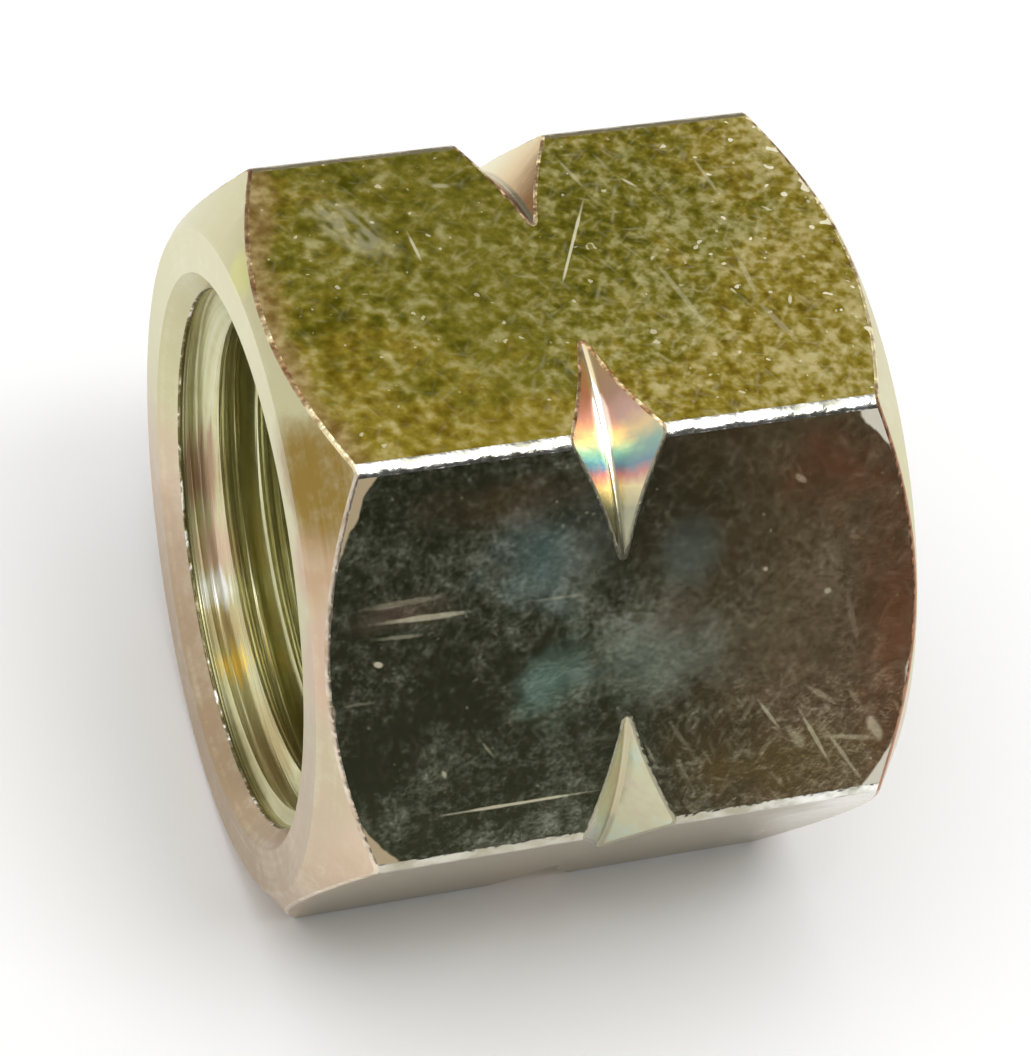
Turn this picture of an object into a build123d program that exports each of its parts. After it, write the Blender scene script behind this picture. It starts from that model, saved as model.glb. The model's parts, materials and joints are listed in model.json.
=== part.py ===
from build123d import *
import os
from math import radians, sin, sqrt, tan

# Left-hand union nut for a 3/8 inch pipe thread, turned in one piece from drawn
# hexagon bar.  It lies on one of its flats: the bore runs along X with the threaded
# mouth towards -X, two flats face up and down, and the origin is on the bore axis
# at mid-length.

# Hexagon bar
across_flats = 22.0
length = 19.0
corner_radius = 0.45  # the drawn bar's own rounded edges

# Turned ends: how far each flat ring stays inside the flats
chamfer_angle = 36.0  # between the chamfer and the end face
mouth_ring_inset = 0.4
collar_ring_inset = 0.15

# Left-hand mark: a vee turned round the bar, deep enough to nick only the corners
mark_from_mouth = 9.5
mark_depth = 1.42  # below the sharp corners of the hexagon
mark_angle = 90.0
mark_root_radius = 0.2

# Threaded bore, drawn at the thread's minor diameter
thread_major_diameter = 16.662
thread_depth = 0.634
mouth_countersink_diameter = 18.4
mouth_countersink_angle = 90.0
relief_clearance = 0.27  # beyond the thread's major radius
relief_width = 2.5
relief_corner_radius = 0.3

# Collar that bears on the hose tail
collar_thickness = 4.5
collar_hole_diameter = 12.0
seat_bevel = 1.0
collar_edge_break = 0.5

flat_radius = across_flats / 2
corner_reach = across_flats / sqrt(3)
thread_minor_radius = thread_major_diameter / 2 - thread_depth
relief_radius = thread_major_diameter / 2 + relief_clearance
collar_hole_radius = collar_hole_diameter / 2
countersink_radius = mouth_countersink_diameter / 2

mouth_x = -length / 2
collar_x = length / 2
seat_x = collar_x - collar_thickness
thread_end_x = seat_x - relief_width


def cone_run(outer_radius, inner_radius, angle_to_face):
    """Length along the bore of a cone between two radii."""
    return (outer_radius - inner_radius) * tan(radians(angle_to_face))


mouth_ring_radius = flat_radius - mouth_ring_inset
collar_ring_radius = flat_radius - collar_ring_inset
mouth_chamfer_run = cone_run(corner_reach, mouth_ring_radius, chamfer_angle)
collar_chamfer_run = cone_run(corner_reach, collar_ring_radius, chamfer_angle)
countersink_run = cone_run(
    countersink_radius, thread_minor_radius, 90 - mouth_countersink_angle / 2
)

# The vee's two sides meet below its rounded root, and they run out past the corners
mark_x = mouth_x + mark_from_mouth
mark_half_angle = radians(mark_angle / 2)
mark_vertex_depth = mark_depth + mark_root_radius * (1 / sin(mark_half_angle) - 1)
mark_vertex_radius = corner_reach - mark_vertex_depth
mark_outer_radius = corner_reach + mark_root_radius
mark_half_width = (mark_outer_radius - mark_vertex_radius) * tan(mark_half_angle)

with BuildPart() as union_nut:
    # Drawn bar, cut to length
    with BuildSketch(Plane.YZ.offset(mouth_x)) as bar_section:
        RegularPolygon(flat_radius, 6, major_radius=False)
        fillet(bar_section.vertices(), corner_radius)
    extrude(amount=length)

    # Both ends turned to a cone, which leaves a curved edge on every flat
    with BuildSketch(Plane.XZ):
        with BuildLine():
            Polyline(
                (mouth_x, 0),
                (mouth_x, mouth_ring_radius),
                (mouth_x + mouth_chamfer_run, corner_reach),
                (collar_x - collar_chamfer_run, corner_reach),
                (collar_x, collar_ring_radius),
                (collar_x, 0),
                close=True,
            )
        make_face()
    revolve(axis=Axis.X, mode=Mode.INTERSECT)

    # Left-hand mark
    with BuildSketch(Plane.XZ) as mark_section:
        with BuildLine():
            Polyline(
                (mark_x - mark_half_width, mark_outer_radius),
                (mark_x, mark_vertex_radius),
                (mark_x + mark_half_width, mark_outer_radius),
                close=True,
            )
        make_face()
        fillet(mark_section.vertices().sort_by(Axis.Y)[0], mark_root_radius)
    revolve(axis=Axis.X, mode=Mode.SUBTRACT)

    # Countersunk mouth and threaded bore, down to the seat
    with BuildSketch(Plane.XZ):
        with BuildLine():
            Polyline(
                (mouth_x, 0),
                (mouth_x, countersink_radius),
                (mouth_x + countersink_run, thread_minor_radius),
                (seat_x, thread_minor_radius),
                (seat_x, 0),
                close=True,
            )
        make_face()
    revolve(axis=Axis.X, mode=Mode.SUBTRACT)

    # Thread relief, its corners rounded by the nose of the tool
    with BuildSketch(Plane.XZ) as relief_section:
        with Locations((thread_end_x, 0)):
            Rectangle(relief_width, relief_radius, align=Align.MIN)
        fillet(relief_section.vertices().group_by(Axis.Y)[-1], relief_corner_radius)
    revolve(axis=Axis.X, mode=Mode.SUBTRACT)

    # Collar hole, bevelled towards the seat and broken at the outer face
    with BuildSketch(Plane.YZ.offset(collar_x)):
        Circle(collar_hole_radius)
    extrude(amount=-collar_thickness, mode=Mode.SUBTRACT)
    hole_rims = union_nut.edges(Select.LAST).filter_by(GeomType.CIRCLE)
    chamfer(hole_rims.sort_by(Axis.X)[0], seat_bevel)
    collar_face = union_nut.faces().sort_by(Axis.X)[-1]
    chamfer(collar_face.inner_wires().edges(), collar_edge_break)

os.makedirs("parts", exist_ok=True)
union_nut.part.label = "union_nut"
export_step(union_nut.part, "parts/union_nut.step")
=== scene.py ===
import json
from math import atan2, cos, degrees, pi, radians, sin, sqrt, tan

import bpy
from mathutils import Matrix, Vector


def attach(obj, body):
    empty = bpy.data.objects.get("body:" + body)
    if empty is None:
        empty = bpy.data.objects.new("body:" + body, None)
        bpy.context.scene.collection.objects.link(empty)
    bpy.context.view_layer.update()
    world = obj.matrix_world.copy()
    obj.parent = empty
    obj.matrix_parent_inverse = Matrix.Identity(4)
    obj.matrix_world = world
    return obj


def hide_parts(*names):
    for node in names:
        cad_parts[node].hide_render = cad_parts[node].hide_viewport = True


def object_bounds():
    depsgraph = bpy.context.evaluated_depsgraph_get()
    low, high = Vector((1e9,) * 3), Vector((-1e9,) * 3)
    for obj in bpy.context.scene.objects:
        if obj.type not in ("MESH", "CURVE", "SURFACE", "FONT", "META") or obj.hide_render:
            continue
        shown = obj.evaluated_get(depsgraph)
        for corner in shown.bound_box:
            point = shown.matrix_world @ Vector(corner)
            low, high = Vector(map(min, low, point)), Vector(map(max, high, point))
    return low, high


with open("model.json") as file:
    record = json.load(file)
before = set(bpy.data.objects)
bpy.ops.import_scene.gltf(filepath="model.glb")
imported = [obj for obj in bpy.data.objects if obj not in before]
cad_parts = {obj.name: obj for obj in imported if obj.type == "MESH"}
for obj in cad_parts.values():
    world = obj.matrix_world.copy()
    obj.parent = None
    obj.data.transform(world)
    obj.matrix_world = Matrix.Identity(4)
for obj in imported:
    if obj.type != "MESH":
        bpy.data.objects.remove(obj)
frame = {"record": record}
cad_low, cad_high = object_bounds()
mm = 0.001

# ---------------------------------------------------------------- hexagon bar
# The nut is parted off a drawn hexagon bar of free-cutting steel, whose corners are
# rounded by the drawing die.  Its six flats stay as drawn, and the passivated zinc
# on them is stained, scuffed and scratched by handling.  Their colour also carries
# painted reflections on the front flat, painted glints on top and painted shade below.
mouth_x = cad_low.x
collar_x = cad_high.x
flat_radius = (cad_high.z - cad_low.z) / 2
sharp_reach = flat_radius * 2 / sqrt(3)
corner_radius = (sharp_reach - cad_high.y) / (2 / sqrt(3) - 1)
corner_tangent = corner_radius * tan(radians(30))
corner_steps = 6
bar_allowance = 1 * mm  # for turning, at each end

# The cones at both ends give the flats their curved outline
chamfer_angle = radians(36)
mouth_ring_radius = flat_radius - 0.4 * mm
collar_ring_radius = flat_radius - 0.15 * mm


def only(piece):
    """Selects one piece, makes it the active one and nothing else."""
    bpy.ops.object.select_all(action="DESELECT")
    piece.select_set(True)
    bpy.context.view_layer.objects.active = piece


def named(name, material):
    """The primitive just added gets its name and material, with its place in its mesh."""
    piece = bpy.context.object
    piece.name = name
    piece.data.name = name
    piece.data.materials.clear()
    piece.data.materials.append(material)
    bpy.ops.object.transform_apply(location=True, rotation=True, scale=True)
    return piece


def node(tree, kind, wires, output=0, **settings):
    """One shader node with its settings; a wire is another node's socket or a plain value."""
    new = tree.nodes.new("ShaderNode" + kind)
    for name, value in settings.items():
        setattr(new, name, value)
    for name, value in wires.items():
        if isinstance(value, bpy.types.NodeSocket):
            tree.links.new(value, new.inputs[name])
        else:
            new.inputs[name].default_value = value
    return new.outputs[output]


def reckon(tree, operation, first, second=0.0, third=0.0):
    """A number worked out from up to three others."""
    return node(tree, "Math", {0: first, 1: second, 2: third}, operation=operation)


def times(tree, first, second):
    """Two numbers multiplied."""
    return reckon(tree, "MULTIPLY", first, second)


def less(tree, first, second):
    """The first number less the second."""
    return reckon(tree, "SUBTRACT", first, second)


def plus(tree, number, share, other):
    """A number with a share of another added to it."""
    return reckon(tree, "MULTIPLY_ADD", other, share, number)


def between(tree, factor, number, other):
    """A number that goes from one to the other as the factor goes from 0 to 1."""
    return plus(tree, number, factor, less(tree, other, number))


def fade(tree, value, start, end):
    """0 at start and 1 at end, smooth in between; end may be the smaller."""
    limits = {"Value": value, "From Min": start, "From Max": end}
    return node(tree, "MapRange", limits, interpolation_type="SMOOTHSTEP")


def tint(tree, factor, colour, other):
    """A colour that goes from one to the other as the factor goes from 0 to 1."""
    mix = tree.nodes.new("ShaderNodeMix")
    mix.data_type = "RGBA"
    sockets = (mix.inputs[0], mix.inputs[6], mix.inputs[7])
    for socket, value in zip(sockets, (factor, colour, other)):
        if isinstance(value, bpy.types.NodeSocket):
            tree.links.new(value, socket)
        else:
            socket.default_value = value if isinstance(value, float) else (*value, 1)
    return mix.outputs[2]


def shades(tree, factor, stops):
    """A colour read off a ramp of (position, colour) stops."""
    ramp = tree.nodes.new("ShaderNodeValToRGB")
    tree.links.new(factor, ramp.inputs["Fac"])
    elements = ramp.color_ramp.elements
    for _ in stops[2:]:
        elements.new(0.5)
    for element, (position, colour) in zip(elements, stops):
        element.position = position
    for element, (position, colour) in zip(elements, stops):
        element.color = (*colour, 1)
    return ramp.outputs["Color"]


def grain(tree, place, scale, detail=3.0, roughness=0.6, seed=0.0):
    """Cloudy noise with features about 1/scale millimetres wide."""
    wires = {"Vector": place, "W": seed, "Scale": scale, "Detail": detail, "Roughness": roughness}
    return node(tree, "TexNoise", wires, noise_dimensions="4D")


def mottle(tree, place, layers):
    """Noise about zero, added up from (features a millimetre, how strong, seed) layers."""
    total = 0.0
    for scale, strength, seed in layers:
        layer = less(tree, grain(tree, place, scale, 1.6, 0.5, seed), 0.5)
        total = plus(tree, total, strength, layer)
    return total


def streaks(tree, around, length, width, lean, seed):
    """Noise drawn out into streaks of that length and width, at that lean to the bar."""
    wires = {
        "Vector": around,
        "Location": (seed, seed * 1.7, 0),
        "Rotation": (0, 0, radians(lean)),
        "Scale": (length, width, 1),
    }
    drawn = node(tree, "Mapping", wires, vector_type="TEXTURE")
    return node(tree, "TexNoise", {"Vector": drawn, "Scale": 1.0, "Detail": 1.0}, noise_dimensions="2D")


def spot(tree, place, centre, size, lean=0.0):
    """1 in the middle of an oval or a ball, falling to 0 at its edge and on below it."""
    halves = [across / 2 for across in size]
    wires = {
        "Vector": place,
        "Location": (*centre, 0)[:3],
        "Rotation": (0, 0, radians(lean)),
        "Scale": (*halves, 1)[:3],
    }
    local = node(tree, "Mapping", wires, vector_type="TEXTURE")
    reach = node(tree, "VectorMath", {0: local}, operation="LENGTH", output="Value")
    return less(tree, 1.0, reach)


def apart(tree, place):
    """The three coordinates of a place, each by itself."""
    split = tree.nodes.new("ShaderNodeSeparateXYZ")
    tree.links.new(place, split.inputs[0])
    return split.outputs


def from_axis(tree, place):
    """How far a place is from the axis of the bore."""
    flat_place = node(tree, "VectorMath", {0: place, 1: (0, 1, 1)}, operation="MULTIPLY")
    return node(tree, "VectorMath", {0: flat_place}, operation="LENGTH", output="Value")


def zinc(name, roughness):
    """A metal to be given its colour: its tree, its shader and its place in millimetres."""
    material = bpy.data.materials.new(name)
    material.use_nodes = True
    tree = material.node_tree
    shader = tree.nodes["Principled BSDF"]
    shader.inputs["Metallic"].default_value = 1
    shader.inputs["Roughness"].default_value = roughness
    coordinates = node(tree, "TexCoord", {}, output="Object")
    place = node(tree, "VectorMath", {0: coordinates, "Scale": 1 / mm}, operation="SCALE")
    return material, tree, shader, place


def relief(tree, shader, height, depth):
    """Fine unevenness, that deep in metres, seen in the reflections."""
    bump = node(tree, "Bump", {"Height": height, "Strength": 1.0, "Distance": depth})
    tree.links.new(bump, shader.inputs["Normal"])


# The map "around" is in millimetres: along the bar, and round it from the middle of
# the top flat.  The middle of the front flat is one side further round.
side = sharp_reach / mm
top, front = 0.0, side
front_starts, front_ends = side * 0.5, side * 1.5
flat_blend = 0.1

flats, tree, shader, place = zinc("drawn_flats", roughness=0.24)
around = node(tree, "UVMap", {}, uv_map="around")
along, across = apart(tree, around)[:2]
on_front = times(
    tree,
    fade(tree, across, front_starts - flat_blend, front_starts + flat_blend),
    fade(tree, across, front_ends + flat_blend, front_ends - flat_blend),
)
wander = mottle(tree, place, [(0.6, 1.0, 5.0), (2.0, 0.5, 6.0)])

# How far past each cone's edge a place on the flats is, along the bar
reach = from_axis(tree, place)
past_mouth = less(tree, reach, mouth_ring_radius / mm)
past_mouth = plus(tree, less(tree, along, mouth_x / mm), -tan(chamfer_angle), past_mouth)
past_collar = less(tree, reach, collar_ring_radius / mm)
past_collar = plus(tree, less(tree, collar_x / mm, along), -tan(chamfer_angle), past_collar)

# How pale the zinc is: fine grain, softer towards the mouth, and dark on the front flat,
# partly as a painted dark reflection, where it is calm towards the collar except for the
# scuffed lower end
fine_grain = mottle(tree, place, [(0.42, 0.9, 3.0), (2.0, 2.2, 0.0), (4.2, 1.6, 8.0)])
soft_grain = mottle(tree, place, [(0.42, 0.7, 3.0), (1.8, 2.0, 4.0), (3.7, 1.4, 9.0)])
dark_layers = [(0.5, 1.3, 3.0), (2.4, 1.5, 1.0), (5.0, 1.4, 2.0), (9.0, 1.0, 12.0)]
dark_grain = mottle(tree, place, dark_layers)
level = between(tree, fade(tree, along, 1.0, -5.0), fine_grain, soft_grain)
level = between(tree, on_front, level, dark_grain)
calm = times(tree, on_front, fade(tree, plus(tree, along, 3.0, wander), -3.5, 3.5))
scuffed = times(tree, on_front, fade(tree, across, front + 1.5, front + 3.5))
scuffed = times(tree, scuffed, fade(tree, along, -0.5, 2.0))
calm = plus(tree, calm, -1.6, scuffed)
level = times(tree, level, plus(tree, 1.0, -0.35, calm))
# The front flat is darkened, partly as a painted dark reflection
level = plus(tree, level, -0.42, on_front)
level = plus(tree, level, 0.15, fade(tree, along, 1.0, 9.5))

# Paler and darker patches: middle, size, lean and how much paler
for centre, size, lean, paler in (
    ((8.2, top - 4.6), (3.0, 4.0), 0, 0.3),
    ((-7.4, top + 1.5), (3.4, 5.0), 20, -0.2),
    ((6.2, top + 4.6), (2.4, 1.6), 20, 0.4),
    ((-2.7, front - 2.5), (5.2, 6.2), 10, 0.42),
    ((0.6, front - 1.0), (4.4, 3.6), 0, 0.2),
    ((-0.2, front + 1.0), (9.0, 4.6), -14, 0.5),
    ((4.6, front + 0.0), (9.0, 12.0), 0, 0.15),
    ((-7.8, front + 2.6), (3.4, 4.2), 0, -0.3),
    ((-3.0, front + 5.7), (8.0, 1.5), 0, 0.3),
):
    mask = reckon(tree, "ADD", spot(tree, around, centre, size, lean), wander)
    level = plus(tree, level, paler, fade(tree, mask, 0.0, 0.7))
level = fade(tree, level, -0.75, 0.85)

# Yellow passivation on top, olive with a golden middle
olive = shades(
    tree,
    level,
    [(0.0, (0.115, 0.105, 0.002)), (0.5, (0.29, 0.25, 0.025)), (1.0, (0.60, 0.54, 0.22))],
)
golden = shades(
    tree,
    level,
    [(0.0, (0.21, 0.14, 0.004)), (0.5, (0.42, 0.32, 0.035)), (1.0, (0.76, 0.64, 0.26))],
)
warm = spot(tree, around, (-1.5, top - 2.2), (17.0, 12.5), 4)
warm = fade(tree, plus(tree, warm, 1.6, wander), 0.35, -0.15)
yellow = tint(tree, warm, olive, golden)

# The front flat goes from grey to brown along the bar, partly as a painted reflection,
# and the flats facing down carry painted shade, with a painted pale reflection towards
# the collar on the lower front one
grey = shades(
    tree,
    level,
    [(0.0, (0.12, 0.13, 0.07)), (0.5, (0.34, 0.36, 0.24)), (1.0, (0.70, 0.74, 0.60))],
)
brown = shades(
    tree,
    level,
    [(0.0, (0.32, 0.22, 0.11)), (0.5, (0.50, 0.38, 0.22)), (1.0, (0.74, 0.62, 0.44))],
)
front_film_and_painted_reflection = tint(tree, fade(tree, plus(tree, along, 4.0, wander), -1.5, 6.0), grey, brown)
# Where the lower front flat shows a painted pale reflection, towards the collar
painted_reflection_end = fade(tree, plus(tree, along, 3.5, wander), 5.2, 8.2)
painted_reflection_end = times(tree, painted_reflection_end, fade(tree, across, side * 2.5, side * 1.6))
painted_reflection_end = times(tree, painted_reflection_end, fade(tree, across, top, front))
# Painted shade on the flats facing down, paling into that painted reflection
underside_painted_shade_and_reflection = tint(tree, painted_reflection_end, (0.36, 0.30, 0.18), (0.88, 0.86, 0.80))
base = tint(tree, on_front, yellow, front_film_and_painted_reflection)
turned_under = reckon(tree, "ABSOLUTE", across)
turned_under = fade(tree, turned_under, front_ends - flat_blend, front_ends + flat_blend)
base = tint(tree, turned_under, base, underside_painted_shade_and_reflection)

# Teal and red-brown patches on the front flat, partly stains in the passivation and partly
# painted reflection: middle, size, lean, colour and how strong
for centre, size, lean, colour, strength in (
    ((-2.6, front - 2.8), (3.8, 4.6), 10, (0.41, 0.61, 0.57), 0.6),
    ((-2.4, front + 0.9), (3.6, 2.2), -45, (0.48, 0.78, 0.62), 0.7),
    ((-0.9, front - 3.2), (2.2, 5.0), 10, (0.56, 0.60, 0.48), 0.5),
    ((0.8, front + 0.9), (7.5, 3.8), -12, (0.46, 0.60, 0.47), 0.55),
    ((2.1, front - 2.4), (2.4, 3.6), 20, (0.45, 0.60, 0.52), 0.45),
    ((1.8, front - 0.4), (2.4, 2.6), 0, (0.36, 0.26, 0.16), 0.5),
    ((-3.4, front - 4.8), (6.4, 2.4), 0, (0.34, 0.23, 0.12), 0.6),
    ((7.0, front - 4.4), (4.4, 3.4), 10, (0.52, 0.24, 0.12), 0.9),
    ((8.8, front + 1.0), (3.6, 13.0), 0, (0.56, 0.25, 0.13), 0.8),
    ((4.8, front + 4.8), (8.0, 2.8), 0, (0.36, 0.27, 0.10), 0.7),
    ((-7.0, front - 1.8), (3.6, 1.3), 0, (0.56, 0.38, 0.26), 0.6),
):
    mask = plus(tree, spot(tree, around, centre, size, lean), 1.4, wander)
    mask = times(tree, fade(tree, mask, -0.1, 1.0), on_front)
    base = tint(tree, times(tree, mask, strength), base, colour)

# Short faint strokes all over: length, width, lean and seed
strokes = 0.0
for length, width, lean, seed in (
    (1.2, 0.26, 62, 3),
    (1.0, 0.26, -35, 17),
    (1.1, 0.28, 118, 41),
    (0.9, 0.24, 15, 29),
):
    line = fade(tree, streaks(tree, around, length, width, lean, seed), 0.60, 0.90)
    strokes = reckon(tree, "MAXIMUM", strokes, line)
strokes = times(tree, strokes, plus(tree, 0.16, 0.16, fade(tree, along, -4.0, 3.0)))
strokes = times(tree, strokes, plus(tree, 1.0, -0.5, on_front))
strokes = times(tree, strokes, plus(tree, 1.0, 1.4, scuffed))

# A rubbed patch on top, by the mouth
smears = spot(tree, around, (-5.6, top - 3.3), (4.8, 2.2), 57)
smears = fade(tree, reckon(tree, "ADD", smears, wander), 0.0, 0.7)
smears = times(tree, smears, fade(tree, streaks(tree, around, 0.9, 0.4, 66, 55), 0.30, 0.60))
scratched = reckon(tree, "MAXIMUM", strokes, times(tree, smears, 0.42))

# The longer scratches and the dents: middle, length, width, lean and how strong
for centre, length, width, lean, strength in (
    ((0.9, top - 1.4), 4.4, 0.13, 117, 1.0),
    ((-3.9, top - 2.2), 1.6, 0.16, 86, 0.8),
    ((-2.4, top - 4.6), 0.9, 0.35, 10, 0.5),
    ((1.8, top - 4.5), 1.8, 0.16, 72, 0.4),
    ((3.5, top - 3.8), 0.7, 0.16, 50, 0.8),
    ((6.0, top - 3.8), 2.2, 0.16, 80, 0.4),
    ((3.6, top + 1.0), 3.8, 0.22, 76, 0.35),
    ((5.9, top + 0.6), 2.9, 0.26, 88, 0.4),
    ((6.2, top + 2.7), 2.3, 0.30, 70, 0.35),
    ((6.9, top + 1.9), 0.5, 0.16, 110, 1.0),
    ((6.4, top + 1.5), 0.22, 0.18, 0, 1.0),
    ((-4.9, top - 3.4), 0.25, 0.2, 30, 0.9),
    ((2.3, top + 2.5), 0.3, 0.25, 0, 0.8),
    ((-3.6, front + 4.82), 6.6, 0.16, 0, 1.0),
    ((-6.25, front - 1.55), 3.9, 0.26, 1, 0.8),
    ((-7.0, front - 2.1), 3.2, 0.30, -2, 0.4),
    ((-6.9, front - 1.05), 2.0, 0.20, 2, 0.5),
    ((-8.3, front + 0.87), 1.5, 0.15, 0, 0.35),
    ((-2.2, front - 1.56), 3.0, 0.12, 1, 0.3),
    ((-7.66, front - 0.29), 0.4, 0.26, 20, 1.0),
    ((-5.8, front + 3.5), 0.4, 0.22, 70, 0.7),
    ((-4.4, front + 2.95), 0.9, 0.16, 56, 0.5),
    ((0.7, front + 3.9), 1.3, 0.18, 66, 0.4),
    ((1.6, front + 3.4), 1.4, 0.18, 58, 0.3),
    ((3.8, front + 3.1), 1.5, 0.26, -56, 0.25),
    ((4.55, front + 3.25), 1.5, 0.18, 57, 0.6),
    ((5.4, front + 4.1), 1.3, 0.50, 56, 0.5),
    ((6.0, front + 4.15), 2.9, 0.2, 63, 0.65),
    ((7.0, front + 5.0), 2.7, 0.2, 58, 0.55),
    ((7.2, front + 4.4), 2.4, 0.24, 11, 0.45),
    ((8.0, front + 4.2), 1.2, 0.5, 63, 0.65),
    ((6.2, front + 2.8), 1.8, 0.22, 37, 0.4),
    ((7.3, front + 0.5), 2.2, 0.30, 79, 0.25),
    ((4.5, front - 1.5), 0.3, 0.28, 0, 0.7),
    ((6.5, front - 0.5), 0.3, 0.28, 0, 0.7),
    ((5.7, front - 4.2), 0.5, 0.25, 40, 0.5),
):
    line = plus(tree, spot(tree, around, centre, (length, width), lean), 1.0, wander)
    line = fade(tree, line, 0.0, 0.6)
    scratched = reckon(tree, "MAXIMUM", scratched, times(tree, line, strength))

# Pale flecks mixed with painted glints all over, and more painted glints on top that crowd
# towards the collar's cone
flecks_and_painted_glints = fade(tree, grain(tree, place, 4.6, 0.0, 0.5, 8.0), 0.78, 0.84)
flecks_and_painted_glints = times(tree, flecks_and_painted_glints, plus(tree, 0.6, -0.3, on_front))
painted_glints = grain(tree, place, 3.4, 0.0, 0.5, 30.0)
painted_glints = fade(tree, plus(tree, painted_glints, 0.12, fade(tree, past_collar, 0.8, 0.0)), 0.76, 0.80)
painted_glints = times(tree, painted_glints, fade(tree, along, 1.0, 6.5))
painted_glints = times(tree, painted_glints, less(tree, 1.0, on_front))
# Scratches and flecks show pale, and so do the painted glints
pale = reckon(tree, "MAXIMUM", times(tree, scratched, 0.8), flecks_and_painted_glints)
pale = reckon(tree, "MAXIMUM", pale, painted_glints)
base = tint(tree, pale, base, (0.86, 0.80, 0.56))

# The flats are browned beside the mouth's cone, and the front one's outline is worn away
browned = fade(tree, plus(tree, past_mouth, 1.6, wander), 1.0, 0.0)
browned = times(tree, browned, plus(tree, 0.7, -0.7, on_front))
base = tint(tree, browned, base, tint(tree, level, (0.30, 0.16, 0.04), (0.74, 0.54, 0.28)))
to_outline = reckon(tree, "MINIMUM", past_mouth, past_collar)
to_corner = less(tree, side / 2, reckon(tree, "ABSOLUTE", less(tree, across, front)))
rounding = times(tree, fade(tree, to_corner, 2.0, 0.0), 0.7)
notched = spot(tree, around, (-8.7, front - 4.6), (2.6, 2.6))
rounding = plus(tree, rounding, 0.22, fade(tree, notched, 0.0, 0.5))
worn = plus(tree, less(tree, to_outline, rounding), 0.5, wander)
worn = times(tree, fade(tree, worn, 0.08, -0.04), on_front)
bared = tint(tree, fade(tree, along, -4.0, 4.0), (0.50, 0.39, 0.24), (0.74, 0.70, 0.58))
base = tint(tree, worn, base, bared)
tree.links.new(base, shader.inputs["Base Color"])
haze = plus(tree, times(tree, level, 0.12), 0.55, pale)
haze = reckon(tree, "MAXIMUM", haze, times(tree, worn, 0.75))
tree.links.new(less(tree, 1.0, haze), shader.inputs["Metallic"])
relief(tree, shader, level, 0.003 * mm)

# The rounded corners are burnished bright, with painted shade on those at the back and below
corner_zinc, tree, shader, place = zinc("drawn_corners", roughness=0.22)
dents = mottle(tree, place, [(1.1, 1.0, 6.0), (4.0, 0.5, 7.0)])
drawn = shades(
    tree,
    fade(tree, dents, -0.25, 0.25),
    [(0.0, (0.42, 0.41, 0.32)), (1.0, (0.94, 0.93, 0.87))],
)
along, sideways, high = apart(tree, place)
# Painted shade on the corners at the back
drawn = tint(tree, fade(tree, sideways, 4.0, 6.0), drawn, (0.40, 0.34, 0.20))
# and on the low corners towards the mouth
low_left_painted_shade = times(tree, fade(tree, high, 5.0, 3.0), fade(tree, along, 7.0, 2.0))
drawn = tint(tree, times(tree, low_left_painted_shade, 0.6), drawn, (0.40, 0.36, 0.25))
tree.links.new(drawn, shader.inputs["Base Color"])
relief(tree, shader, dents, 0.09 * mm)

bpy.ops.object.select_all(action="DESELECT")
bpy.ops.mesh.primitive_cylinder_add(
    vertices=6,
    radius=sharp_reach,
    depth=collar_x - mouth_x + 2 * bar_allowance,
    rotation=(0, pi / 2, 0),
)
nut = named("nut", flats)
nut.data.materials.append(corner_zinc)
bpy.ops.object.mode_set(mode="EDIT")
bpy.ops.mesh.select_all(action="DESELECT")
bpy.ops.object.mode_set(mode="OBJECT")
for edge in nut.data.edges:
    start, end = [nut.data.vertices[i].co for i in edge.vertices]
    edge.select = abs(start.x - end.x) > mm
bpy.ops.object.mode_set(mode="EDIT")
bpy.ops.mesh.bevel(offset=corner_tangent, segments=corner_steps, profile=0.5, material=1)
bpy.ops.object.mode_set(mode="OBJECT")

# ---------------------------------------------------------------- turned ends
# Both ends are faced and chamfered at 36 degrees in the lathe, which leaves a narrow
# flat ring inside each cone and a curved edge on every flat.  The zinc on the turned
# faces is cream, pinkish and with painted shade towards the bottom, and its edges are
# burnished by handling, with painted glints and a painted shadow on some of them.
turning_steps = 240
blank_radius = sharp_reach + 0.2 * mm
nick_x = (mouth_x + collar_x) / 2
turned_edge_wear = 0.09 * mm
uneven_place = (13.7 * mm, 29.3 * mm, 41.1 * mm)

turned_face, tree, shader, place = zinc("turned_faces", roughness=0.3)
soft = mottle(tree, place, [(0.35, 0.5, 12.0), (1.6, 0.4, 2.0), (5.0, 0.25, 9.0)])
radius = from_axis(tree, place)
tool_lines = node(tree, "TexNoise", {"W": radius, "Scale": 4.0, "Detail": 3.0}, noise_dimensions="1D")
sideways, high = apart(tree, place)[1:]
# The cream is pinkish and darker towards the bottom: the film's tint, with painted shade
high = plus(tree, plus(tree, high, 0.25, sideways), 7.0, soft)
cream = shades(
    tree,
    fade(tree, high, -13.0, 13.0),
    [
        (0.05, (0.46, 0.33, 0.20)),
        (0.36, (0.66, 0.52, 0.38)),
        (0.56, (0.62, 0.59, 0.36)),
        (0.9, (0.66, 0.62, 0.37)),
    ],
)

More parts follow.
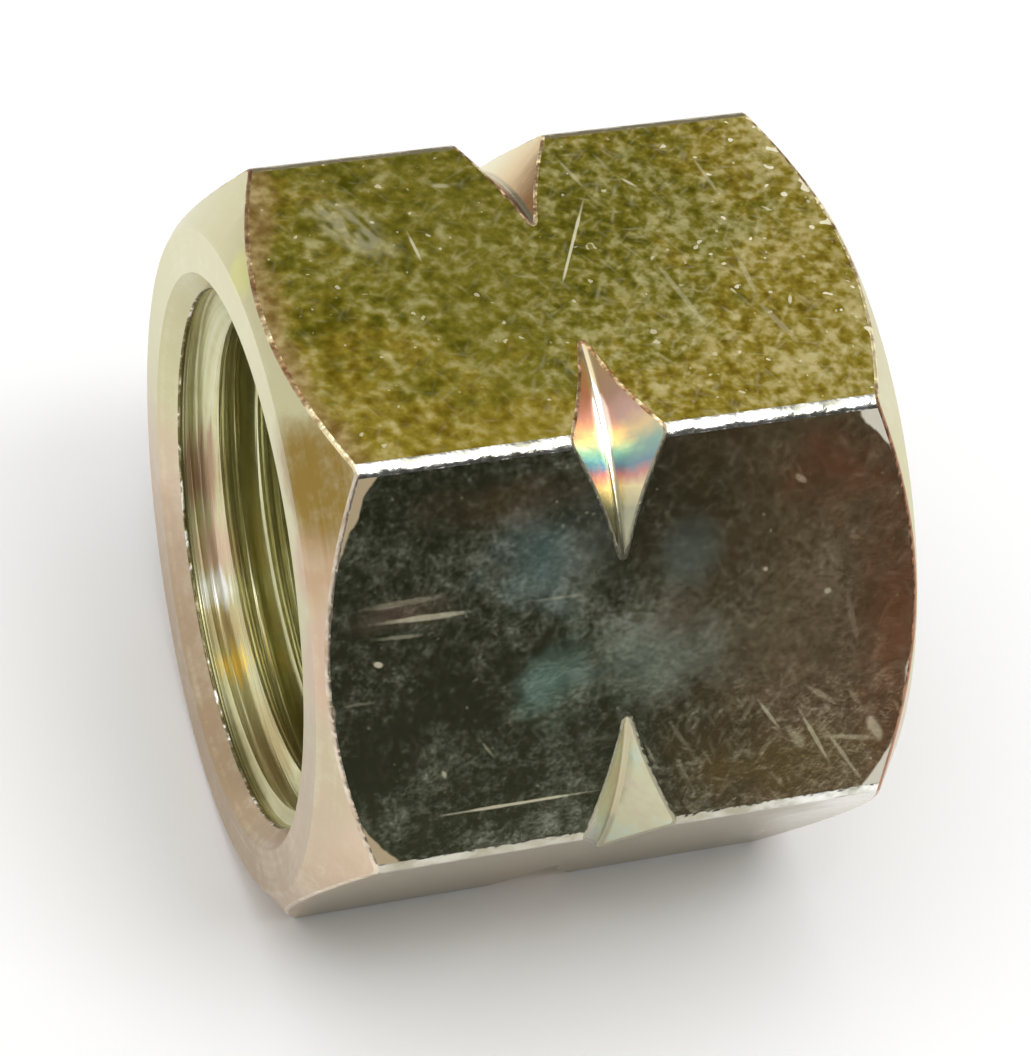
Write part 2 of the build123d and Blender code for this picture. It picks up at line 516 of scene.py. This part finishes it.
# Pink and golden clouds round the mouth: middle, size, colour and how strong
for centre, size, colour, strength in (
    ((-9.2, -10.2, 2.0), (4.0, 5.0, 10.0), (0.54, 0.44, 0.31), 0.7),
    ((-9.0, -9.0, 6.0), (4.0, 3.6, 7.0), (0.64, 0.46, 0.34), 0.9),
    ((-9.2, -7.2, 8.2), (3.2, 3.4, 4.2), (0.60, 0.40, 0.25), 0.9),
    ((-8.9, -5.6, 9.9), (5.0, 6.2, 4.4), (0.32, 0.20, 0.035), 0.95),
    ((-9.4, 2.3, 10.7), (2.6, 2.6, 1.3), (0.74, 0.72, 0.30), 0.85),
):
    mask = fade(tree, reckon(tree, "ADD", spot(tree, place, centre, size), soft), 0.05, 0.6)
    cream = tint(tree, times(tree, mask, strength), cream, colour)
pale = fade(tree, plus(tree, soft, 0.3, tool_lines), 0.10, 0.45)
cream = tint(tree, times(tree, pale, 0.4), cream, (0.78, 0.75, 0.58))
tree.links.new(cream, shader.inputs["Base Color"])
relief(tree, shader, plus(tree, soft, 0.3, tool_lines), 0.008 * mm)

# Worn edges: brown and gold round the top flat, pale to tan round the front one
worn_edge_and_painted_light, tree, shader, place = zinc("worn_edges", roughness=0.28)
around = node(tree, "UVMap", {}, uv_map="around")
along, across = apart(tree, around)[:2]
wear_level = mottle(tree, place, [(1.3, 1.2, 14.0), (3.6, 1.1, 15.0)])
burnished = spot(tree, place, (-8.4, -5.4, 11.0), (3.4, 3.6, 3.0))
collar_burnish = spot(tree, place, (8.0, -2.0, 11.0), (5.0, 10.0, 3.0))
burnished = reckon(tree, "MAXIMUM", burnished, collar_burnish)
wear_level = plus(tree, wear_level, 0.6, reckon(tree, "MAXIMUM", burnished, 0.0))
brown_gold = shades(
    tree,
    fade(tree, wear_level, -0.5, 0.55),
    [
        (0.2, (0.26, 0.13, 0.06)),
        (0.42, (0.42, 0.26, 0.12)),
        (0.62, (0.60, 0.44, 0.24)),
        (0.8, (1.0, 0.86, 0.52)),
    ],
)
soft_pale = tint(tree, fade(tree, wear_level, -0.5, 0.5), (0.50, 0.38, 0.26), (0.80, 0.70, 0.56))
soft_pale = tint(tree, fade(tree, along, -5.5, -2.5), soft_pale, (0.36, 0.34, 0.24))
soft_pale = tint(tree, fade(tree, along, 3.0, 6.0), soft_pale, (0.42, 0.22, 0.13))
past_top = fade(tree, across, side / 2 - 0.6, side / 2 + 0.3)
edge_colour = tint(tree, past_top, brown_gold, soft_pale)

# The rim of the countersink carries a painted shadow, with painted glints on its wear
rim_painted_shadow_and_glints = shades(
    tree,
    fade(tree, wear_level, -0.4, 0.5),
    [(0.3, (0.16, 0.14, 0.06)), (0.6, (0.40, 0.34, 0.20)), (0.75, (0.98, 0.96, 0.88))],
)
edge_colour = tint(tree, fade(tree, from_axis(tree, place), 9.6, 9.2), edge_colour, rim_painted_shadow_and_glints)

# Painted golden glints in beads along the nick and the collar's edge of the top flat
painted_glint_beads = fade(tree, mottle(tree, place, [(3.0, 2.0, 16.0)]), 0.0, 0.35)
from_nick = reckon(tree, "ABSOLUTE", less(tree, along, nick_x / mm))
painted_glint_places = reckon(tree, "MAXIMUM", fade(tree, from_nick, 1.9, 1.6), fade(tree, along, 2.0, 5.0))
painted_glint_beads = times(tree, painted_glint_beads, painted_glint_places)
painted_glint_beads = times(tree, painted_glint_beads, fade(tree, across, side / 2 + 0.2, side / 2 - 0.2))
golden = tint(tree, fade(tree, along, 0.0, 0.3), (0.94, 0.58, 0.42), (1.0, 0.86, 0.50))
edge_colour = tint(tree, painted_glint_beads, edge_colour, golden)
tree.links.new(edge_colour, shader.inputs["Base Color"])
# The painted glints are less metallic, so that they show bright
tree.links.new(plus(tree, 1.0, -0.7, painted_glint_beads), shader.inputs["Metallic"])
relief(tree, shader, wear_level, 0.06 * mm)


def turned(name, material, stations):
    """A solid turned about the bore axis, from its (x, radius) stations."""
    x, radius = stations[0]
    bpy.ops.object.select_all(action="DESELECT")
    bpy.ops.mesh.primitive_circle_add(
        vertices=turning_steps,
        radius=radius,
        fill_type="NGON",
        location=(x, 0, 0),
        rotation=(0, pi / 2, 0),
    )
    piece = named(name, material)
    bpy.ops.object.mode_set(mode="EDIT")
    bpy.ops.mesh.select_all(action="SELECT")
    for next_x, next_radius in stations[1:]:
        bpy.ops.mesh.extrude_region_move(TRANSFORM_OT_translate={"value": (next_x - x, 0, 0)})
        size = next_radius / radius
        bpy.ops.transform.resize(value=(1, size, size), center_override=(next_x, 0, 0))
        x, radius = next_x, next_radius
    bpy.ops.mesh.select_all(action="SELECT")
    bpy.ops.mesh.normals_make_consistent(inside=False)
    bpy.ops.object.mode_set(mode="OBJECT")
    return piece


def cut(cutter, operation):
    """The nut keeps or loses the cutter's form, and cut faces wear the cutter's material."""
    only(nut)
    boolean = nut.modifiers.new(cutter.name, "BOOLEAN")
    boolean.operation = operation
    boolean.object = cutter
    boolean.solver = "EXACT"
    boolean.material_mode = "TRANSFER"
    bpy.ops.object.modifier_apply(modifier=boolean.name)
    bpy.data.objects.remove(cutter)
    # A cut leaves its points in any order, so they are sorted for the next step
    bpy.context.scene.cursor.location = uneven_place
    bpy.ops.object.mode_set(mode="EDIT")
    bpy.ops.mesh.select_all(action="SELECT")
    bpy.ops.mesh.sort_elements(type="CURSOR_DISTANCE", elements={"VERT", "EDGE", "FACE"})
    bpy.ops.object.mode_set(mode="OBJECT")


def wear(material, width):
    """Rounds the edges where faces of that material meet any others, and gives them the
    burnished edge material, with its painted glints and painted shadow.
    """
    sliver = 0.02 * mm
    only(nut)
    bpy.ops.object.mode_set(mode="EDIT")
    bpy.ops.mesh.select_all(action="SELECT")
    bpy.ops.mesh.remove_doubles(threshold=sliver)
    bpy.ops.object.mode_set(mode="OBJECT")
    beside = {edge.key: set() for edge in nut.data.edges}
    for face in nut.data.polygons:
        for key in face.edge_keys:
            beside[key].add(nut.data.materials[face.material_index].name)
    bpy.ops.object.mode_set(mode="EDIT")
    bpy.ops.mesh.select_mode(type="EDGE")
    bpy.ops.mesh.select_all(action="DESELECT")
    bpy.ops.object.mode_set(mode="OBJECT")
    for edge in nut.data.edges:
        edge.select = material.name in beside[edge.key] and len(beside[edge.key]) > 1
    worn_slot = nut.data.materials.find(worn_edge_and_painted_light.name)
    bpy.ops.object.mode_set(mode="EDIT")
    bpy.ops.mesh.bevel(offset=width, segments=3, material=worn_slot)
    bpy.ops.object.mode_set(mode="OBJECT")


def cone_run(outer_radius, inner_radius):
    """How far along the bore the chamfer cone goes between two radii."""
    return (outer_radius - inner_radius) * tan(chamfer_angle)


blank = turned(
    "turned_blank",
    turned_face,
    [
        (mouth_x, mouth_ring_radius),
        (mouth_x + cone_run(blank_radius, mouth_ring_radius), blank_radius),
        (collar_x - cone_run(blank_radius, collar_ring_radius), blank_radius),
        (collar_x, collar_ring_radius),
    ],
)
cut(blank, "INTERSECT")
nut.data.materials.append(worn_edge_and_painted_light)
wear(turned_face, turned_edge_wear)

# ---------------------------------------------------------------- left-hand nicks
# A vee turned round the bar at mid-length nicks only its corners, the usual sign of a
# left-hand thread.  The tool's nose leaves a small round along the root, and the film
# on the walls shines like a rainbow at the front corner.
nick_depth = 1.42 * mm
nick_root_radius = 0.2 * mm
nick_nose_radius = sharp_reach - nick_depth + nick_root_radius
nick_half_width = blank_radius - nick_nose_radius + nick_root_radius * sqrt(2)
nick_edge_wear = 0.07 * mm
beyond = 0.5 * mm

# Corners are counted round from the one between the top and front flats, which is 0, and
# past_corner goes from 0 to 1 between the middles of the two flats beside each
nick_wall, tree, shader, place = zinc("nick_walls", roughness=0.22)
soft = mottle(tree, place, [(0.9, 1.0, 21.0), (3.0, 0.5, 22.0)])
along, sideways, high = apart(tree, place)
turn = reckon(tree, "ARCTAN2", times(tree, sideways, -1.0), high)
turn = reckon(tree, "DIVIDE", turn, radians(60))
corner = reckon(tree, "FLOOR", turn)
past_corner = reckon(tree, "FRACT", plus(tree, turn, 0.06, soft))
browning = shades(
    tree,
    past_corner,
    [
        (0.36, (0.82, 0.76, 0.50)),
        (0.48, (0.78, 0.62, 0.36)),
        (0.58, (0.62, 0.43, 0.23)),
        (0.68, (0.40, 0.21, 0.08)),
    ],
)
rainbow = shades(
    tree,
    past_corner,
    [
        (0.26, (0.40, 0.28, 0.12)),
        (0.37, (0.46, 0.28, 0.19)),
        (0.43, (0.66, 0.42, 0.34)),
        (0.47, (0.92, 0.70, 0.38)),
        (0.52, (0.36, 0.54, 0.44)),
        (0.55, (0.26, 0.38, 0.44)),
        (0.575, (0.72, 0.36, 0.32)),
        (0.61, (0.95, 0.80, 0.46)),
        (0.66, (0.50, 0.49, 0.33)),
    ],
)
plain = shades(
    tree,
    fade(tree, soft, -0.4, 0.4),
    [(0.0, (0.56, 0.42, 0.28)), (0.5, (0.70, 0.54, 0.35)), (1.0, (0.74, 0.68, 0.45))],
)
grey_green = shades(
    tree,
    fade(tree, soft, -0.4, 0.4),
    [(0.0, (0.50, 0.42, 0.34)), (0.5, (0.56, 0.54, 0.36)), (1.0, (0.50, 0.60, 0.50))],
)
walls = plain
for which, film in ((0.0, rainbow), (1.0, grey_green), (-1.0, browning)):
    walls = tint(tree, reckon(tree, "COMPARE", corner, which, 0.2), walls, film)

# The root is painted dull, as shade that dims its reflection of the lamp, with a painted
# highlight line that widens at the front corner
from_root = reckon(tree, "ABSOLUTE", less(tree, along, nick_x / mm))
root_painted_shade = tint(tree, fade(tree, past_corner, 0.56, 0.62), (0.50, 0.44, 0.28), (0.30, 0.28, 0.17))
walls = tint(tree, times(tree, fade(tree, from_root, 0.17, 0.09), 0.8), walls, root_painted_shade)
near_corner = reckon(tree, "ABSOLUTE", less(tree, past_corner, 0.43))
near_corner = fade(tree, near_corner, 0.14, 0.02)
near_corner = times(tree, near_corner, reckon(tree, "COMPARE", corner, 0.0, 0.2))
painted_root_highlight = fade(tree, plus(tree, from_root, -0.24, near_corner), 0.02, -0.06)
walls = tint(tree, painted_root_highlight, walls, (1.0, 0.98, 0.92))
tree.links.new(walls, shader.inputs["Base Color"])
relief(tree, shader, soft, 0.01 * mm)

nick_stations = [(mouth_x - beyond, blank_radius), (nick_x - nick_half_width, blank_radius)]
for lean in (-45, -30, -15, 0, 15, 30, 45):
    out, down = sin(radians(lean)), cos(radians(lean))
    nick_stations.append((nick_x + nick_root_radius * out, nick_nose_radius - nick_root_radius * down))
nick_stations += [(nick_x + nick_half_width, blank_radius), (collar_x + beyond, blank_radius)]
cut(turned("nicked_blank", nick_wall, nick_stations), "INTERSECT")
wear(nick_wall, nick_edge_wear)

# ---------------------------------------------------------------- bore
# The bore is drilled and turned: a countersunk mouth with a narrow lead-in, the wall
# that takes the thread, a relief behind it, and the collar with its bevelled seat for
# the hose tail.  The tool has left fine rings in its zinc.
mounts = {mount["name"]: mount for mount in frame["record"]["mounts"]}
thread = mounts["mouth_thread"]["dims"]
minor_radius = thread["r_mm"] * mm
hole_radius = mounts["collar_hole"]["dims"]["r_mm"] * mm
seat_x = mounts["hose_tail_seat"]["pos_m"][0]
countersink_radius = 9.2 * mm
lead_in_radius = 8.6 * mm
lead_in_x = mouth_x + countersink_radius - lead_in_radius
lead_in_length = 0.36 * mm
thread_start_x = mouth_x + countersink_radius - minor_radius
thread_end_x = thread_start_x + thread["length_mm"] * mm
relief_radius = 8.6 * mm
relief_round = 0.3 * mm
seat_bevel = 1.0 * mm
edge_break = 0.5 * mm
bore_edge_wear = 0.05 * mm

bore_wall, tree, shader, place = zinc("bore_walls", roughness=0.25)
depth = less(tree, apart(tree, place)[0], mouth_x / mm)
soft = mottle(tree, place, [(0.5, 0.6, 7.0), (2.0, 0.4, 4.0)])
tool_wires = {"W": depth, "Scale": 5.0, "Detail": 3.0, "Roughness": 0.7}
tool_lines = less(tree, node(tree, "TexNoise", tool_wires, noise_dimensions="1D"), 0.5)
lining = shades(
    tree,
    fade(tree, plus(tree, soft, 1.2, tool_lines), -0.35, 0.35),
    [(0.0, (0.56, 0.52, 0.28)), (0.5, (0.69, 0.67, 0.39)), (1.0, (0.76, 0.75, 0.50))],
)

# Painted reflections by the mouth, brown, pink and tan, with painted shade, a painted white
# glint and a painted golden glow: middle, size, colour and how strong
for centre, size, colour, strength in (
    ((-8.3, 7.2, -3.9), (2.0, 3.4, 4.4), (0.42, 0.26, 0.16), 0.9),
    ((-7.9, 5.6, -6.2), (2.2, 3.4, 3.4), (0.70, 0.50, 0.36), 0.9),
    ((-8.0, 3.4, -7.6), (2.4, 3.6, 2.4), (0.60, 0.46, 0.22), 0.9),
    ((-7.4, -1.8, -8.3), (4.4, 7.4, 3.2), (0.50, 0.40, 0.19), 0.9),
    ((-8.8, -2.5, -8.4), (1.6, 8.0, 4.0), (0.26, 0.23, 0.09), 0.9),
    ((-8.1, 4.6, -7.0), (2.4, 1.9, 1.6), (1.0, 1.0, 0.96), 1.0),
    ((-7.9, 2.3, -8.1), (2.2, 2.0, 1.6), (1.0, 0.74, 0.18), 1.0),
):
    mask = reckon(tree, "ADD", plus(tree, soft, 2.0, tool_lines), spot(tree, place, centre, size))
    lining = tint(tree, times(tree, fade(tree, mask, 0.0, 0.8), strength), lining, colour)

# Painted shadow at the lead-in's edge, and palest just past it, in millimetres from the mouth
lining = tint(tree, fade(tree, depth, 0.80, 0.66), lining, (0.24, 0.22, 0.10))
tree.links.new(lining, shader.inputs["Base Color"])
lit = times(tree, fade(tree, depth, 0.7, 0.9), fade(tree, depth, 1.9, 1.4))
tree.links.new(plus(tree, 1.0, -0.45, lit), shader.inputs["Metallic"])
relief(tree, shader, plus(tree, soft, 1.5, tool_lines), 0.012 * mm)

relief_corner = [
    (relief_round * (1 - cos(turn)), relief_round * (1 - sin(turn)))
    for turn in (0, pi / 8, pi / 4, 3 * pi / 8, pi / 2)
]
stations = [
    (mouth_x - beyond, countersink_radius + beyond),
    (lead_in_x, lead_in_radius),
    (lead_in_x + lead_in_length, lead_in_radius),
    (thread_start_x, minor_radius),
    (thread_end_x, minor_radius),
]
stations += [(thread_end_x + back, relief_radius - inward) for back, inward in relief_corner]
stations += [(seat_x - back, relief_radius - inward) for back, inward in reversed(relief_corner)]
stations += [
    (seat_x, hole_radius + seat_bevel),
    (seat_x + seat_bevel, hole_radius),
    (collar_x - edge_break, hole_radius),
    (collar_x + beyond, hole_radius + edge_break + beyond),
]
bore_cutter = turned("bore_cutter", bore_wall, stations)
bore_cutter.data.materials.append(turned_face)
for face in bore_cutter.data.polygons:
    if face.center.x < lead_in_x:
        face.material_index = 1
cut(bore_cutter, "DIFFERENCE")
wear(bore_wall, bore_edge_wear)

# ---------------------------------------------------------------- left-hand thread
# G 3/8 left-hand: 19 turns an inch and 55 degree flanks, with rounded roots and broken
# crests.  The tap runs in from the mouth and out into the relief.
pitch = 25.4 * mm / 19
thread_height = 0.856 * mm
flank = tan(radians(27.5))
groove_half_width = pitch / 4 + thread_height / 2 * flank
groove_bottom_radius = 8.74 * mm
groove_gap = 0.016 * mm  # between one turn of the groove and the next
crest_clearance = 0.03 * mm
crest_break = [(0.05 * mm, 0.01 * mm), (-0.06 * mm, 0.12 * mm)]
root_round = 0.17 * mm
root_flat = 0.02 * mm
thread_steps = 113
thread_turns = 9
run_in = 0.61 * mm

# Half of the groove's section, from the crest's break up the flank to the root's round
half_groove = [((pitch - groove_gap) / 2, minor_radius - crest_clearance)]
half_groove += [(groove_half_width + out, minor_radius + up) for out, up in crest_break]
root_centre = groove_bottom_radius - root_round
for turn in (62.5, 45, 25):
    out, up = sin(radians(turn)), cos(radians(turn))
    half_groove.append((root_round * out + root_flat, root_centre + root_round * up))
section = half_groove + [(0, groove_bottom_radius)] + [(-x, r) for x, r in reversed(half_groove)]
groove_mesh = bpy.data.meshes.new("thread_cutter")
groove_mesh.from_pydata(
    [(mouth_x - run_in + x, 0, r) for x, r in section],
    [(i, (i + 1) % len(section)) for i in range(len(section))],
    [],
)
groove_mesh.materials.append(bore_wall)
groove = bpy.data.objects.new("thread_cutter", groove_mesh)
bpy.context.scene.collection.objects.link(groove)
only(groove)
screw = groove.modifiers.new("left_hand_screw", "SCREW")
screw.axis = "X"
screw.angle = -2 * pi
screw.screw_offset = pitch
screw.iterations = thread_turns
screw.steps = screw.render_steps = thread_steps
screw.use_smooth_shade = False
bpy.ops.object.modifier_apply(modifier=screw.name)
bpy.ops.object.mode_set(mode="EDIT")
bpy.ops.mesh.select_mode(type="EDGE")
bpy.ops.mesh.select_all(action="DESELECT")
bpy.ops.mesh.select_non_manifold()
bpy.ops.mesh.edge_face_add()
bpy.ops.mesh.select_all(action="SELECT")
bpy.ops.mesh.normals_make_consistent(inside=False)
bpy.ops.object.mode_set(mode="OBJECT")
cut(groove, "DIFFERENCE")

# ---------------------------------------------------------------- finish
# The finished nut gets the map that its zinc follows round the bar, and its curved
# faces are shaded smooth, while every face that the tool left flat stays flat.
smooth_up_to = radians(24)

around_map = nut.data.uv_layers.new(name="around")
for face in nut.data.polygons:
    middle = face.center
    turn = round(degrees(atan2(-middle.y, middle.z)) / 60)
    lean = radians(turn * 60)
    for corner in face.loop_indices:
        point = nut.data.vertices[nut.data.loops[corner].vertex_index].co
        across = -point.y * cos(lean) - point.z * sin(lean)
        around_map.data[corner].uv = (point.x / mm, across / mm + turn * side)
only(nut)
bpy.ops.object.shade_smooth_by_angle(angle=smooth_up_to)
weighted = nut.modifiers.new("face_weights", "WEIGHTED_NORMAL")
weighted.keep_sharp = True
weighted.weight = 100
bpy.ops.object.modifier_apply(modifier=weighted.name)

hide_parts("union_nut")
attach(nut, "root")

# ---------------------------------------------------------------- floor
# The nut lies on one of its flats, on a plain pale sheet that is matt and far wider
# than the view.
floor_size = 2.0

bpy.ops.object.select_all(action="DESELECT")
bpy.ops.mesh.primitive_plane_add(size=floor_size, location=(0, 0, cad_low.z))
floor = bpy.context.object
floor.name = "floor"
bpy.ops.object.transform_apply(location=True, rotation=True, scale=True)
floor_paint = bpy.data.materials.new("pale_floor")
floor_paint.use_nodes = True
paint = floor_paint.node_tree.nodes["Principled BSDF"]
paint.inputs["Base Color"].default_value = (0.9, 0.9, 0.9, 1)
paint.inputs["Roughness"].default_value = 0.9
floor.data.materials.append(floor_paint)

# ---------------------------------------------------------------- camera
# The camera looks down on the top flat from in front and to the mouth's side, a
# little rolled, from far enough away that the nut's sides hardly close in.
view_azimuth = radians(-24.62)
view_elevation = radians(48.09)
roll = radians(10.72)
distance = 131.5 * mm
aim_right = 0.11 * mm
aim_down = 0.215 * mm
lens_focal_length = 139.0227

away = Vector(
    (
        sin(view_azimuth) * cos(view_elevation),
        -cos(view_azimuth) * cos(view_elevation),
        sin(view_elevation),
    )
)
right = Vector((cos(view_azimuth), sin(view_azimuth), 0))
up = away.cross(right)
turned_right = right * cos(roll) + up * sin(roll)
turned_up = up * cos(roll) - right * sin(roll)
eye = turned_right * aim_right - turned_up * aim_down + away * distance
camera_data = bpy.data.cameras.new("camera")
camera_data.lens = lens_focal_length
camera_data.clip_start = 0.01
camera = bpy.data.objects.new("camera", camera_data)
stance = Matrix((turned_right, turned_up, away)).transposed().to_4x4()
camera.matrix_world = Matrix.Translation(eye) @ stance
bpy.context.scene.collection.objects.link(camera)
bpy.context.scene.camera = camera

# ---------------------------------------------------------------- studio
# A grey room, bright overhead, with a dark flag in front that blackens the front flat,
# and a brighter side towards the mouth.  Two lamps stand above and in front of the nut.
flag_way = Vector((0.28, -0.95, 0.12)).normalized()
mouth_way = (-1, 0, 0)
lamp_distance = 0.45

world = bpy.data.worlds.new("studio")
bpy.context.scene.world = world
world.use_nodes = True
tree = world.node_tree
direction = node(tree, "TexCoord", {}, output="Generated")


def facing(tree, way, start, end, dim, full):
    """Goes from dim to full as the direction's share of that way goes from start to end."""
    share = node(tree, "VectorMath", {0: direction, 1: way}, operation="DOT_PRODUCT", output="Value")
    limits = {"Value": share, "From Min": start, "From Max": end, "To Min": dim, "To Max": full}
    return node(tree, "MapRange", limits, interpolation_type="SMOOTHSTEP")


sky_levels = ((0.0, 0.42), (0.2, 0.42), (0.45, 0.42), (0.76, 0.46), (0.86, 1.5), (1.0, 2.0))
sky = shades(
    tree, apart(tree, direction)[2], [(height, (level, level, level)) for height, level in sky_levels]
)
flag = facing(tree, flag_way, 0.93, 0.6, 0.12, 1.0)
room = node(tree, "Mix", {0: 1.0, 6: sky, 7: flag}, output=2, data_type="RGBA", blend_type="MULTIPLY")
opening = facing(tree, mouth_way, 0.2, 0.8, 1.0, 1.9)
tree.links.new(room, tree.nodes["Background"].inputs["Color"])
tree.links.new(opening, tree.nodes["Background"].inputs["Strength"])
bpy.context.scene.view_settings.view_transform = "Standard"


def lamp(name, way, size, energy):
    """An area lamp of that width and height that lights the nut from that way."""
    light = bpy.data.lights.new(name, "AREA")
    light.shape = "RECTANGLE"
    light.size, light.size_y = size
    light.energy = energy
    stand = bpy.data.objects.new(name, light)
    way = Vector(way).normalized()
    aim = way.to_track_quat("Z", "Y").to_matrix().to_4x4()
    stand.matrix_world = Matrix.Translation(way * lamp_distance) @ aim
    bpy.context.scene.collection.objects.link(stand)


lamp("overhead_softbox", (0.28, -0.40, 0.87), (0.22, 0.16), 0.55)
lamp("side_lamp", (-0.15, -0.38, 0.91), (0.05, 0.05), 0.08)
